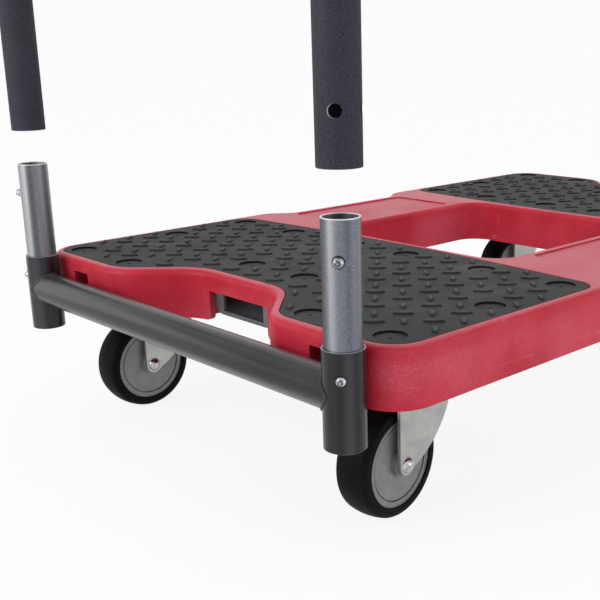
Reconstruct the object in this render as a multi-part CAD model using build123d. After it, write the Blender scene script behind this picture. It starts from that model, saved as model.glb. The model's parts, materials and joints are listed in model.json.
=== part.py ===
from build123d import *
import math
import os

# All sizes are in millimetres. X runs along the deck with the handle end at -X,
# Y runs across it with the left side at +Y, and Z is up from the floor.

# Deck moulding
deck_length = 816.0
deck_width = 521.0
deck_height = 48.0
deck_wall = 6.0
deck_skin = 5.0
deck_corner_radius = 35.0
deck_edge_round = 6.0
end_recess_depth = 58.0
end_recess_width = 178.0
end_recess_radius = 48.0
end_lobe_radius = 48.0
side_recess_depth = 22.0
side_recess_length = 196.0
side_recess_radius = 30.0
opening_length = 256.0
opening_width = 250.0
opening_radius = 28.0
opening_edge_round = 5.0
rib_thickness = 4.0
rail_panel_length = 184.0
rail_panel_margin = 11.0
rail_panel_depth = 1.5
rail_panel_radius = 9.0

# Tread pads let into the deck
pad_thickness = 5.0
pad_rim = 8.0
pad_bow = 13.0
pad_corner_radius = 22.0
pad_clearance = 0.6
pad_edge_round = 1.0
dimple_diameter = 26.0
dimple_depth = 2.0
dimple_side_margin = 26.0
dimple_end_margin = 21.0
dimple_inner_margin = 33.0
dimple_recess_margin = 40.0
dimple_middle_gap = 78.0
dimple_column_pitch = 98.0
dimple_side_pitch = 96.0

# Strap anchor in the middle of each end
notch_width = 88.0
notch_top_drop = 19.0
notch_lip_radius = 5.0
anchor_thickness = 3.0
anchor_width = 90.0
anchor_drop = 41.0
anchor_corner_radius = 13.0
anchor_depth = 24.0
anchor_back_drop = 46.0
anchor_back_width = 112.0
anchor_bay_room = 2.5
anchor_slot_width = 60.0
anchor_slot_height = 21.0
anchor_slot_margin = 4.0
anchor_rivet_diameter = 6.0
anchor_rivet_head = 11.0
anchor_rivet_head_height = 2.5
anchor_rivet_pitch = 60.0

# Hook slots in the end lobes, and the hooks of the push bar that enter them
hook_inset = 78.5
hook_slot_width = 26.0
hook_slot_height = 26.0
hook_slot_drop = 13.0
hook_width = 24.0
hook_thickness = 6.0
hook_lip = 7.0
hook_lip_gap = 0.5

# Push bar tubing
tube_diameter = 32.0
tube_wall = 1.8
tube_edge_break = 0.4
post_inset = 33.5
bar_gap = 1.5
bar_drop = 32.5
socket_rise = 2.0
socket_length = 75.0
weld_gap = 0.05
stub_wall = 1.5
stub_clearance = 0.1
stub_top_rise = 94.0
stub_depth = 70.0
handle_height = 940.0
handle_bend_radius = 95.0
handle_lift = 99.0
handle_hole_rise = 37.5
handle_hole_diameter = 9.4

# Snap buttons and their leaf springs inside the stubs
button_diameter = 8.0
button_clearance = 0.2
button_flange_diameter = 10.4
button_flange_thickness = 1.3
button_seat_gap = 0.3
button_tip_radius = 19.0
button_bearing = 40.0
upper_button_rise = 65.0
lower_button_drop = 18.5
spring_thickness = 0.8
spring_width = 9.0
spring_length = 40.0
spring_gap = 0.05
spring_bend_radius = 3.0

# Casters
caster_height = 120.0
caster_end_inset = 98.0
caster_side_inset = 77.5
caster_trail = 35.0
caster_rest_turn = {"handle_right": 6.0, "handle_left": 0.0, "far_right": 0.0, "far_left": 0.0}
plate_length = 92.0
plate_width = 66.0
plate_thickness = 3.0
plate_corner_radius = 6.0
plate_bolt_pitch_x = 72.0
plate_bolt_pitch_y = 46.0
bolt_diameter = 8.0
bolt_clearance = 0.3
bolt_head_diameter = 18.0
bolt_head_height = 3.5
nut_width = 13.0
nut_height = 6.5
boss_margin = 5.0
kingpin_diameter = 12.0
kingpin_head_diameter = 22.0
kingpin_head_height = 4.0
running_clearance = 0.05
swivel_gap = 0.3
race_radius = 20.0
race_ring_radius = 27.0
race_ring_height = 3.5
race_clearance = 0.1
ball_diameter = 6.0
ball_count = 12
race_opening = 3.5
fork_thickness = 3.0
fork_gap = 38.0
fork_crown_radius = 32.0
fork_leg_end_radius = 9.0
fork_crease_set = 10.0
fork_crease_radius = 8.0
fork_flare = 7.5
fork_leg_reach = 14.0
fork_sweep_radius = 87.0
fork_bend_round = 2.5
axle_diameter = 8.0
axle_head_diameter = 13.0
axle_head_height = 4.5
sleeve_diameter = 12.0
wheel_diameter = 96.0
wheel_width = 32.0
hub_gap = 0.5
hub_radius = 11.0
core_radius = 37.5
core_face_set = 1.6
core_disc_set = 2.2
core_groove_radius = 31.5
core_groove_width = 1.2
core_groove_depth = 2.0
tyre_bond = 0.05
tyre_wall_height = 3.5
tyre_crown = 1.2
tyre_shoulder = 5.0

# How close counts as the same place when an edge or corner is looked up
near = 0.01

# Places worked out from the sizes above
half_length = deck_length / 2
half_width = deck_width / 2
tube_radius = tube_diameter / 2
deck_x = (bar_gap + tube_diameter) / 2
deck_bottom = caster_height
deck_top = deck_bottom + deck_height
pocket_floor = deck_top - pad_thickness
cavity_top = pocket_floor - deck_skin
pad_inner_x = opening_length / 2 + pad_rim
post_x = deck_x - half_length - bar_gap - tube_radius
post_y = half_width - post_inset
hook_y = half_width - hook_inset
bar_z = deck_top - bar_drop
socket_top = deck_top + socket_rise
socket_bottom = socket_top - socket_length
stub_radius = tube_radius - tube_wall - stub_clearance
stub_bore = stub_radius - stub_wall
stub_top = deck_top + stub_top_rise
stub_bottom = socket_top - stub_depth
upper_button_z = deck_top + upper_button_rise
lower_button_z = deck_top - lower_button_drop
handle_bottom = upper_button_z - handle_hole_rise + handle_lift
handle_top_z = handle_height + handle_lift - tube_radius
hook_slot_top = deck_top - hook_slot_drop
hook_slot_bottom = hook_slot_top - hook_slot_height
caster_x = half_length - caster_end_inset
caster_y = half_width - caster_side_inset
crown_top = -(plate_thickness + race_ring_height + race_opening)
crown_bottom = crown_top - fork_thickness
ball_z = crown_top + race_opening / 2
axle_z = wheel_diameter / 2 - caster_height
fork_outer = fork_gap / 2 + fork_thickness
left_and_right = {"left": 1, "right": -1}
caster_sides = {
    "handle_right": (-1, -1),
    "handle_left": (-1, 1),
    "far_right": (1, -1),
    "far_left": (1, 1),
}


def save(shape, node):
    """Write one sub-part to its own file."""
    export_step(shape, f"parts/{node}.step")


def block(x_range, y_range, z_range):
    """A box between two limits on each axis."""
    ranges = (x_range, y_range, z_range)
    size = [high - low for low, high in ranges]
    middle = [(high + low) / 2 for low, high in ranges]
    return Pos(*middle) * Box(*size)


def rod(radius, low, high):
    """A round bar on the Z axis between two heights."""
    return Pos(0, 0, (low + high) / 2) * Cylinder(radius, high - low)


def rounded_at(face, corners, radius):
    """Round the corners of a flat outline that lie at the given points."""
    chosen = [
        vertex
        for vertex in face.vertices()
        if any(math.dist((vertex.X, vertex.Y), corner) < near for corner in corners)
    ]
    return fillet(chosen, radius)


def four_ways(x, y):
    """A point and its mirror images across both axes."""
    return [(sx * x, sy * y) for sx in (1, -1) for sy in (1, -1)]


def deck_outline():
    """Plan outline of the deck: waisted sides and a recess in each end."""
    half_step = end_recess_depth / 2
    recess = (half_length - end_recess_depth, end_recess_width / 2 - half_step)
    lobe = (half_length, end_recess_width / 2 + half_step)
    corner = (half_length, half_width)
    waist_step = side_recess_depth / 2
    waist_out = (side_recess_length / 2 + waist_step, half_width)
    waist_in = (side_recess_length / 2 - waist_step, half_width - side_recess_depth)
    quarter = [recess, lobe, corner, waist_out, waist_in]
    loop = quarter + [(-x, y) for x, y in reversed(quarter)]
    loop += [(-x, -y) for x, y in quarter] + [(x, -y) for x, y in reversed(quarter)]
    face = make_face(Polyline(*loop, close=True))
    face = rounded_at(face, four_ways(*recess), end_recess_radius)
    face = rounded_at(face, four_ways(*lobe), end_lobe_radius)
    face = rounded_at(face, four_ways(*corner), deck_corner_radius)
    return rounded_at(face, four_ways(*waist_out) + four_ways(*waist_in), side_recess_radius)


def opening_outline():
    """Plan outline of the opening through the middle of the deck."""
    return RectangleRounded(opening_length, opening_width, opening_radius)


def pad_outline(outline):
    """Plan outline of the pocket for the tread pad at the far end."""
    inside = offset(outline, -pad_rim)
    side_x = pad_inner_x + pad_bow
    side_y = half_width - pad_rim
    bow = ThreePointArc((side_x, -side_y), (pad_inner_x, 0), (side_x, side_y))
    past_end = half_length + pad_rim
    rest = Polyline((side_x, side_y), (past_end, side_y), (past_end, -side_y), (side_x, -side_y))
    face = inside & make_face([bow, rest])
    return rounded_at(face, [(side_x, side_y), (side_x, -side_y)], pad_corner_radius)


def dimple_places():
    """Centres of the round dimples in the far pad."""
    inner_x = pad_inner_x + dimple_inner_margin
    outer_x = half_length - pad_rim - dimple_end_margin
    recess_x = half_length - end_recess_depth - pad_rim - dimple_recess_margin
    middle_y = dimple_middle_gap / 2
    columns = [
        (middle_y, (inner_x, recess_x)),
        (middle_y + dimple_column_pitch, (inner_x, outer_x)),
        (half_width - pad_rim - dimple_side_margin, (inner_x, inner_x + dimple_side_pitch, outer_x)),
    ]
    return [(x, side * y) for y, xs in columns for x in xs for side in (1, -1)]


def rails_and_ribs():
    """Plan areas under the deck that stay solid: ribs and caster bosses."""
    bay_start = opening_length / 2 + deck_wall
    bay_length = half_length - end_recess_depth - deck_wall - bay_start
    cross_x = [0, opening_length / 4]
    cross_x += [bay_start + bay_length * share for share in (1 / 3, 2 / 3)]
    long_y = [0, opening_width / 4, opening_width / 2 + deck_wall / 2]
    solid = Sketch()
    for x in cross_x:
        for side in (1, -1):
            solid += Pos(side * x, 0) * Rectangle(rib_thickness, deck_width)
    for y in long_y:
        for side in (1, -1):
            solid += Pos(0, side * y) * Rectangle(deck_length, rib_thickness)
    for side in (1, -1):
        solid += Pos(0, side * caster_y) * Rectangle(2 * caster_x, rib_thickness)
    anchor_bay = Rectangle(anchor_depth + 2 * deck_wall, anchor_back_width + 2 * anchor_bay_room)
    bay_x = half_length - end_recess_depth - deck_wall - anchor_depth / 2
    for side in (1, -1):
        solid -= Pos(side * bay_x, 0) * anchor_bay
    boss = Rectangle(plate_length + 2 * boss_margin, plate_width + 2 * boss_margin)
    for x, y in four_ways(caster_x, caster_y):
        solid += Pos(x, y) * boss
    return solid


def caster_bolt_places():
    """Bolt centres of all the casters, about the deck's middle."""
    pattern = four_ways(plate_bolt_pitch_x / 2, plate_bolt_pitch_y / 2)
    return [(cx + x, cy + y) for cx, cy in four_ways(caster_x, caster_y) for x, y in pattern]


def anchor_rivet_places():
    """Rivet centres of the anchor at the far end, about the deck's middle."""
    x = half_length - end_recess_depth - deck_wall - anchor_depth / 2
    return [(x, side * anchor_rivet_pitch / 2) for side in (1, -1)]


def top_rim(solid, inside):
    """Edges of the deck's top face, round its opening or round its outside."""
    rim = solid.edges().filter_by_position(Axis.Z, deck_top - near, deck_top + near)
    reach = (opening_length / 2 + near, opening_width / 2 + near)
    return [
        edge
        for edge in rim
        if (abs(edge.center().X) < reach[0] and abs(edge.center().Y) < reach[1]) == inside
    ]


def deck_shell(outline):
    """Ribbed deck moulding before its end cuts, about its own middle."""
    opening = opening_outline()
    solid = Pos(0, 0, deck_bottom) * extrude(outline - opening, deck_height)
    solid = fillet(top_rim(solid, inside=False), deck_edge_round)
    solid = fillet(top_rim(solid, inside=True), opening_edge_round)
    hollow = offset(outline, -deck_wall) - offset(opening, deck_wall) - rails_and_ribs()
    solid -= Pos(0, 0, deck_bottom) * extrude(hollow, cavity_top - deck_bottom)
    return solid


def deck_part(outline, pocket):
    """Deck moulding with pockets, panels, notches, slots and bolt holes."""
    solid = deck_shell(outline)
    far_pocket = Pos(0, 0, pocket_floor) * extrude(pocket, pad_thickness)
    panel_low = opening_width / 2 + rail_panel_margin
    panel_high = half_width - side_recess_depth - rail_panel_margin
    panel = RectangleRounded(rail_panel_length, panel_high - panel_low, rail_panel_radius)
    panel_cut = extrude(panel, rail_panel_depth)
    wall_x = half_length - end_recess_depth - deck_wall
    notch_top = deck_top - notch_top_drop
    notch = block((wall_x, half_length), (-notch_width / 2, notch_width / 2), (deck_bottom, notch_top))
    slot = block((half_length - deck_wall, half_length), (-hook_slot_width / 2, hook_slot_width / 2),
                 (hook_slot_bottom, hook_slot_top))
    cuts = []
    for side in (1, -1):
        turn = Rot(0, 0, 0 if side > 0 else 180)
        cuts += [turn * far_pocket, turn * notch]
        cuts += [turn * Pos(0, y, 0) * slot for y in (hook_y, -hook_y)]
        cuts.append(Pos(0, side * (panel_low + panel_high) / 2, deck_top - rail_panel_depth) * panel_cut)
        rivet_hole = rod(anchor_rivet_diameter / 2 + running_clearance, cavity_top, pocket_floor)
        cuts += [turn * Pos(x, y, 0) * rivet_hole for x, y in anchor_rivet_places()]
    bolt_hole = rod(bolt_diameter / 2 + bolt_clearance, deck_bottom, pocket_floor)
    head_recess = rod(bolt_head_diameter / 2 + bolt_clearance, pocket_floor - bolt_head_height,
                      pocket_floor)
    cuts += [Pos(x, y, 0) * (bolt_hole + head_recess) for x, y in caster_bolt_places()]
    solid -= cuts
    lips = [
        edge
        for edge in solid.edges().filter_by(Axis.X)
        if abs(abs(edge.center().Y) - notch_width / 2) < near
        and abs(edge.center().Z - deck_bottom) < near
    ]
    return Pos(deck_x, 0, 0) * fillet(lips, notch_lip_radius)


def pad_part(pocket):
    """Tread pad of the far end with its round dimples, about the deck's middle."""
    pad = Pos(0, 0, pocket_floor) * extrude(offset(pocket, -pad_clearance), pad_thickness)
    pad = fillet(pad.edges().filter_by_position(Axis.Z, deck_top - near, deck_top + near), pad_edge_round)
    dimple = rod(dimple_diameter / 2, deck_top - dimple_depth, deck_top)
    return pad - [Pos(x, y, 0) * dimple for x, y in dimple_places()]


def anchor_part():
    """Strap anchor behind the far end wall: a slotted plate and a wide back leg, about the deck's middle."""
    wall_x = half_length - end_recess_depth - deck_wall
    back_x = wall_x - anchor_depth
    low = deck_top - anchor_drop
    height = cavity_top - low
    face = Rectangle(anchor_width, height)
    bottom = [(side * anchor_width / 2, -height / 2) for side in (1, -1)]
    face = rounded_at(face, bottom, anchor_corner_radius)
    slot_y = anchor_slot_margin + (anchor_slot_height - height) / 2
    face -= Pos(0, slot_y) * Rectangle(anchor_slot_width, anchor_slot_height)
    upright = Pos(wall_x, 0, low + height / 2) * Rot(0, 0, 90) * Rot(90, 0, 0) * extrude(
        face, -anchor_thickness)
    across = (-anchor_back_width / 2, anchor_back_width / 2)
    flange = block((back_x, wall_x), across, (cavity_top - anchor_thickness, cavity_top))
    back = block((back_x, back_x + anchor_thickness), across, (deck_top - anchor_back_drop, cavity_top))
    hole = rod(anchor_rivet_diameter / 2 + running_clearance, cavity_top - anchor_thickness, cavity_top)
    return upright + flange + back - [Pos(x, y, 0) * hole for x, y in anchor_rivet_places()]


def anchor_rivets():
    """Rivets that hold both anchors up to the deck skin."""
    under = cavity_top - anchor_thickness
    rivet = rod(anchor_rivet_diameter / 2, under, pocket_floor)
    rivet += rod(anchor_rivet_head / 2, under - anchor_rivet_head_height, under)
    places = [(side * x, y) for x, y in anchor_rivet_places() for side in (1, -1)]
    return Compound([Pos(deck_x + x, y, 0) * rivet for x, y in places])


def caster_bolts():
    """Bolts that hold the caster plates, heads up under the tread pads."""
    low = deck_bottom - plate_thickness - nut_height
    bolt = rod(bolt_diameter / 2, low, pocket_floor - bolt_head_height)
    bolt += rod(bolt_head_diameter / 2, pocket_floor - bolt_head_height, pocket_floor)
    return Compound([Pos(deck_x + x, y, 0) * bolt for x, y in caster_bolt_places()])


def hex_nut(width, height, bore):
    """A plain six-sided nut standing on the XY plane."""
    return extrude(RegularPolygon(width / 2, 6, major_radius=False) - Circle(bore / 2), height)


def caster_nuts():
    """Nuts under the caster plates."""
    low = deck_bottom - plate_thickness - nut_height
    nut = Pos(0, 0, low) * hex_nut(nut_width, nut_height, bolt_diameter + 2 * running_clearance)
    return Compound([Pos(deck_x + x, y, 0) * nut for x, y in caster_bolt_places()])


def button_way(side):
    """Turn and move a piece drawn along +X at a post, to face as its snap button does."""
    return Pos(post_x, side * post_y, 0) * Rot(0, 0, 180 - side * button_bearing)


def button_hole(diameter, height, reach):
    """Round hole along +X from a post's axis out through its wall."""
    return Pos(reach / 2, 0, height) * Rot(0, 90, 0) * Cylinder(diameter / 2, reach)


def post_tube(radius, wall, low, high):
    """Open tube on the Z axis."""
    return rod(radius, low, high) - rod(radius - wall, low, high)


def broken_edges(tube, height):
    """Take the sharp edges off a tube's cut end at the given height."""
    return chamfer(tube.edges().filter_by_position(Axis.Z, height - near, height + near), tube_edge_break)


def socket_part(side):
    """Socket tube that holds a stub, with the hole for the lower snap button."""
    hole = button_hole(button_diameter + 2 * button_clearance, lower_button_z, tube_diameter)
    tube = post_tube(tube_radius, tube_wall, socket_bottom, socket_top)
    tube = broken_edges(broken_edges(tube, socket_bottom), socket_top)
    return Pos(post_x, side * post_y, 0) * tube - button_way(side) * hole


def stub_part(side):
    """Stub tube that carries the handle, with holes for both snap buttons."""
    tube = broken_edges(post_tube(stub_radius, stub_wall, stub_bottom, stub_top), stub_top)
    tube = Pos(post_x, side * post_y, 0) * tube
    hole_diameter = button_diameter + 2 * button_clearance
    for height in (upper_button_z, lower_button_z):
        tube -= button_way(side) * button_hole(hole_diameter, height, tube_diameter)
    return tube


def flange_face():
    """How far the outer face of a snap button's flange lies from its post's axis."""
    return math.sqrt(stub_bore**2 - (button_flange_diameter / 2) ** 2) - button_seat_gap


def button_part(side, height):
    """Snap button: flange inside the stub, shank through its wall, domed tip."""
    radius = button_diameter / 2
    seat = flange_face()
    flange_low = seat - button_flange_thickness
    profile = Polyline(
        (button_tip_radius, 0),
        (flange_low, 0),
        (flange_low, button_flange_diameter / 2),
        (seat, button_flange_diameter / 2),
        (seat, radius),
        (button_tip_radius - radius, radius),
    )
    dome = RadiusArc((button_tip_radius - radius, radius), (button_tip_radius, 0), radius)
    body = revolve(make_face([profile, dome]), Axis.X)
    return button_way(side) * Pos(0, 0, height) * body


def spring_part(side, height):
    """Leaf spring bent to a V that presses a snap button outwards."""
    front = flange_face() - button_flange_thickness - spring_gap - spring_thickness / 2
    back = -math.sqrt(stub_bore**2 - (spring_width / 2) ** 2) + spring_gap + spring_thickness
    path = FilletPolyline(
        (front, button_flange_diameter / 2),
        (front, -button_flange_diameter / 2),
        (0, -spring_length),
        (back, 0),
        radius=spring_bend_radius,
    )
    leaf = extrude(Plane.XZ * trace(path, spring_thickness), spring_width / 2, both=True)
    return button_way(side) * Pos(0, 0, height) * leaf


def bar_part():
    """Cross bar between the sockets, coped to fit round them."""
    place = Pos(post_x, 0, bar_z) * Rot(90, 0, 0)
    bar = Cylinder(tube_radius, 2 * post_y) - Cylinder(tube_radius - tube_wall, 2 * post_y)
    cope = rod(tube_radius + weld_gap, socket_bottom, socket_top)
    return place * bar - [Pos(post_x, side * post_y, 0) * cope for side in (1, -1)]


def hook_part(side):
    """Hook welded to the back of the bar: a tongue through the deck's slot and a turned-down lip."""
    lip_start = deck_x - half_length + deck_wall + hook_lip_gap
    lip_end = lip_start + hook_thickness
    tongue_top = hook_slot_bottom + hook_thickness
    across = (side * hook_y - hook_width / 2, side * hook_y + hook_width / 2)
    tongue = block((post_x, lip_end), across, (hook_slot_bottom, tongue_top))
    lip = block((lip_start, lip_end), across, (hook_slot_bottom - hook_lip, tongue_top))
    cope = Pos(post_x, 0, bar_z) * Rot(90, 0, 0) * Cylinder(tube_radius + weld_gap, deck_width)
    return tongue + lip - cope


def handle_part():
    """Upper handle: one tube bent to an upturned U, with button holes near its lower ends."""
    route = [
        (post_x, -post_y, handle_bottom),
        (post_x, -post_y, handle_top_z),
        (post_x, post_y, handle_top_z),
        (post_x, post_y, handle_bottom),
    ]
    path = FilletPolyline(*route, radius=handle_bend_radius)
    start = Plane(origin=route[0], z_dir=(0, 0, 1))
    tube = sweep(start * Circle(tube_radius), path) - sweep(start * Circle(tube_radius - tube_wall), path)
    tube = broken_edges(tube, handle_bottom)
    hole = button_hole(handle_hole_diameter, handle_bottom + handle_hole_rise, tube_diameter)
    for side in left_and_right.values():
        tube -= [button_way(side) * hole, button_way(side) * Rot(0, 0, -side * 90) * hole]
    return tube


def race_groove():
    """Ring swept by the balls of a caster's swivel race, with their clearance."""
    return Pos(0, 0, ball_z) * Torus(race_radius, ball_diameter / 2 + race_clearance)


def plate_part():
    """Caster top plate with its pressed ball race."""
    outline = RectangleRounded(plate_length, plate_width, plate_corner_radius)
    for x, y in four_ways(plate_bolt_pitch_x / 2, plate_bolt_pitch_y / 2):
        outline -= Pos(x, y) * Circle(bolt_diameter / 2 + bolt_clearance)
    plate = extrude(outline, -plate_thickness)
    plate += rod(race_ring_radius, -plate_thickness - race_ring_height, -plate_thickness)
    bore = rod(kingpin_diameter / 2 + running_clearance, -plate_thickness - race_ring_height, 0)
    return plate - bore - race_groove()


def kingpin_part():
    """Swivel pin with its lower head, set in the top plate."""
    head_top = crown_bottom - swivel_gap
    pin = rod(kingpin_diameter / 2, head_top, 0)
    return pin + rod(kingpin_head_diameter / 2, head_top - kingpin_head_height, head_top)


def ball_ring():
    """Loose balls of the swivel race."""
    ball = Sphere(ball_diameter / 2)
    turns = [Rot(0, 0, 360 * n / ball_count) for n in range(ball_count)]
    return Compound([turn * Pos(race_radius, 0, ball_z) * ball for turn in turns])


def fork_plan(half_gap):
    """Plan outline between faces of the fork's legs: level in front, flared behind the crease."""
    front = -caster_trail - fork_leg_end_radius
    crease = (fork_crease_set - caster_trail, half_gap)
    back = (fork_leg_reach, half_gap + fork_flare)
    upper = [(front, half_gap), crease, back]
    loop = upper + [(x, -y) for x, y in reversed(upper)]
    face = make_face(Polyline(*loop, close=True))
    return rounded_at(face, [crease, (crease[0], -crease[1])], fork_crease_radius)


def fork_side():
    """Side outline of the fork's legs, with their axle hole."""
    front = -caster_trail - fork_leg_end_radius
    low = fork_leg_end_radius * math.sqrt(0.5)
    heel = (low - caster_trail, axle_z - low)
    toe = (-caster_trail, axle_z - fork_leg_end_radius)
    back = (fork_leg_reach, crown_top)
    edge = [
        Polyline((front, axle_z), (front, crown_top), back),
        RadiusArc(back, heel, fork_sweep_radius),
        ThreePointArc(heel, toe, (front, axle_z)),
    ]
    hole = Circle(axle_diameter / 2 + running_clearance)
    return make_face(edge) - Pos(-caster_trail, axle_z) * hole


def fork_part():
    """Pressed fork: crown with the lower ball race and two swept-back legs with flared gussets."""
    outside = fork_plan(fork_outer)
    low = axle_z - fork_leg_end_radius
    walls = Pos(0, 0, low) * extrude(outside - fork_plan(fork_gap / 2), crown_top - low)
    sides = extrude(Plane.XZ * fork_side(), fork_outer + fork_flare, both=True)
    solid = Pos(0, 0, crown_bottom) * extrude(outside, fork_thickness) + (walls & sides)
    bends = [
        edge
        for edge in solid.edges().filter_by_position(Axis.Z, crown_top - near, crown_top + near)
        if abs(edge.center().Y) > fork_outer - near
    ]
    solid = fillet(bends, fork_bend_round) + rod(fork_crown_radius, crown_bottom, crown_top)
    return solid - rod(kingpin_diameter / 2 + running_clearance, crown_bottom, crown_top) - race_groove()


def on_axle(shape):
    """Move a piece drawn about the Z axis onto the wheel's axle, its +Z end to the right."""
    return Pos(-caster_trail, 0, axle_z) * Rot(90, 0, 0) * shape


def axle_bolt_part():
    """Axle bolt with a domed head on the right and a plain shank."""
    end = fork_outer + nut_height
    top = (0, fork_outer + axle_head_height)
    rim = (axle_head_diameter / 2, fork_outer)
    dome = TangentArc(top, rim, tangent=(1, 0))
    edge = Polyline(top, (0, -end), (axle_diameter / 2, -end), (axle_diameter / 2, fork_outer), rim)
    return on_axle(revolve(Plane.XZ * make_face([dome, edge]), Axis.Z))


def axle_nut_part():
    """Nut on the axle bolt's left end."""
    nut = hex_nut(nut_width, nut_height, axle_diameter + 2 * running_clearance)
    return on_axle(Pos(0, 0, -fork_outer - nut_height) * nut)


def sleeve_part():
    """Sleeve on the axle bolt that the wheel turns on and the fork clamps."""
    wall = (sleeve_diameter - axle_diameter) / 2 - running_clearance
    return on_axle(post_tube(sleeve_diameter / 2, wall, -fork_gap / 2, fork_gap / 2))


def core_part():
    """Wheel core: hub, dished disc, groove and rim."""
    rim_half = wheel_width / 2 - core_face_set
    disc_half = wheel_width / 2 - core_disc_set
    groove_half = disc_half - core_groove_depth
    groove_outer = core_groove_radius + core_groove_width
    hub_half = fork_gap / 2 - hub_gap
    bore = sleeve_diameter / 2 + running_clearance
    half = [
        (bore, hub_half),
        (hub_radius, hub_half),
        (hub_radius, disc_half),
        (core_groove_radius, disc_half),
        (core_groove_radius, groove_half),
        (groove_outer, groove_half),
        (groove_outer, rim_half),
        (core_radius, rim_half),
    ]
    outline = Polyline(*half, *[(r, -y) for r, y in reversed(half)], close=True)
    return on_axle(revolve(Plane.XZ * make_face(outline), Axis.Z))


def tyre_part():
    """Tyre with straight walls, rounded shoulders and a crowned tread."""
    inner = core_radius + tyre_bond
    half = wheel_width / 2
    outer = wheel_diameter / 2
    wall_top = inner + tyre_wall_height
    tread = outer - tyre_crown
    tread_half = half - tyre_shoulder
    crown = ThreePointArc((tread, tread_half), (outer, 0), (tread, -tread_half))
    shoulder = TangentArc((wall_top, half), (tread, tread_half), tangent=(1, 0))
    edge = [
        Polyline((wall_top, -half), (inner, -half), (inner, half), (wall_top, half)),
        shoulder,
        crown,
        mirror(shoulder, Plane.XZ),
    ]
    return on_axle(revolve(Plane.XZ * make_face(edge), Axis.Z))


def caster_parts():
    """The pieces of one caster about its swivel axis, with its top face at height zero."""
    return {
        "caster_plate": plate_part(),
        "kingpin": kingpin_part(),
        "race_balls": ball_ring(),
        "fork": fork_part(),
        "axle_bolt": axle_bolt_part(),
        "axle_nut": axle_nut_part(),
        "axle_sleeve": sleeve_part(),
        "wheel_core": core_part(),
        "tyre": tyre_part(),
    }


def main():
    """Build every sub-part and write it to the parts folder."""
    os.makedirs("parts", exist_ok=True)
    outline = deck_outline()
    pocket = pad_outline(outline)
    save(deck_part(outline, pocket), "deck")
    pad = pad_part(pocket)
    anchor = anchor_part()
    for end, turn in (("far_end", 0), ("handle_end", 180)):
        place = Pos(deck_x, 0, 0) * Rot(0, 0, turn)
        save(place * pad, f"{end}_pad")
        save(place * anchor, f"{end}_anchor")
    save(anchor_rivets(), "anchor_rivets")
    save(caster_bolts(), "caster_bolts")
    save(caster_nuts(), "caster_nuts")
    save(bar_part(), "cross_bar")
    save(handle_part(), "handle_tube")
    for name, side in left_and_right.items():
        save(socket_part(side), f"{name}_socket")
        save(stub_part(side), f"{name}_stub")
        save(hook_part(side), f"{name}_bar_hook")
        for level, height in (("upper", upper_button_z), ("lower", lower_button_z)):
            save(button_part(side, height), f"{name}_{level}_button")
            save(spring_part(side, height), f"{name}_{level}_spring")
    pieces = caster_parts()
    for corner, (end, side) in caster_sides.items():
        place = Pos(deck_x + end * caster_x, side * caster_y, caster_height)
        turned = place * Rot(0, 0, caster_rest_turn[corner])
        for piece, shape in pieces.items():
            fixed = piece in ("caster_plate", "kingpin")
            save((place if fixed else turned) * shape, f"{corner}_{piece}")


main()
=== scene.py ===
"""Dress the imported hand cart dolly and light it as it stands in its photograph."""

import json
import logging
import math
from dataclasses import dataclass, replace
from enum import Enum
from typing import Any

import bmesh
import bpy
from mathutils import Matrix, Vector


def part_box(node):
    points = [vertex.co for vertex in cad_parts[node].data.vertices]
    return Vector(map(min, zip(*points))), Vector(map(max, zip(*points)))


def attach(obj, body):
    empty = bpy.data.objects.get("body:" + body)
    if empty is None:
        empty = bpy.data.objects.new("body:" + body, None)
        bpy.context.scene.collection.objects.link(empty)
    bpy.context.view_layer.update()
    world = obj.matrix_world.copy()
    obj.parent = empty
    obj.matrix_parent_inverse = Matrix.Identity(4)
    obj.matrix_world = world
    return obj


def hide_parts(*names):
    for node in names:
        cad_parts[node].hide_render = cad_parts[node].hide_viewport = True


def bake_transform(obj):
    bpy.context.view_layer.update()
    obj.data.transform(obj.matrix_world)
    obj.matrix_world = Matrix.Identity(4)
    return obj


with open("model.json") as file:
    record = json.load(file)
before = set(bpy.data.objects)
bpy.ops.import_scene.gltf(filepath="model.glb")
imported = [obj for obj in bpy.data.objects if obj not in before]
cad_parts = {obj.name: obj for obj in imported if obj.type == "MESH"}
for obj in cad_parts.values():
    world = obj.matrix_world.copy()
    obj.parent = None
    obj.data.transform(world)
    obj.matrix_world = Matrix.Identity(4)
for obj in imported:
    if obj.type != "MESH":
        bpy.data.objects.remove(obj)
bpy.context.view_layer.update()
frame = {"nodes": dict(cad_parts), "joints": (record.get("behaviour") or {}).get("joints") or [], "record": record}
LOG = logging.getLogger("dolly")

Colour = tuple[int, int, int]
Point = tuple[float, float, float]
Points = tuple[Vector, ...]
# Where a fade starts and ends, in metres
Reach = tuple[float, float]
# The constant of a weighted sum, then the share of each signal
Shares = tuple[float, ...]
Material = bpy.types.Material
Mesh = bmesh.types.BMesh

# Scale of a pattern that is stretched nowhere
EVEN = (1.0, 1.0, 1.0)
# Body that the fixed pieces ride on
BASE = "base"
# Corners closer than this, in metres, are one corner
MERGE_DISTANCE = 1e-6
# Least part of a face's normal along an axis for the face to count as facing that way
FACING = 0.9
# Edges between faces that meet at a larger angle stay sharp
SHARP_DEGREES = 40.0


class End(Enum):
    """The two ends of the deck, by the start of their nodes' names."""

    HANDLE = "handle_end"
    FAR = "far_end"


class Side(Enum):
    """The two sides of the cart, by their sign on the Y axis."""

    LEFT = 1
    RIGHT = -1

    @property
    def word(self) -> str:
        """The side as it stands in the nodes' names."""
        return self.name.lower()


class Level(Enum):
    """The two snap buttons of a post, as they stand in the nodes' names."""

    UPPER = "upper"
    LOWER = "lower"


class Tube(Enum):
    """The tubes that snap buttons come out of, by the end of their nodes' names."""

    STUB = "stub"
    SOCKET = "socket"


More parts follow.
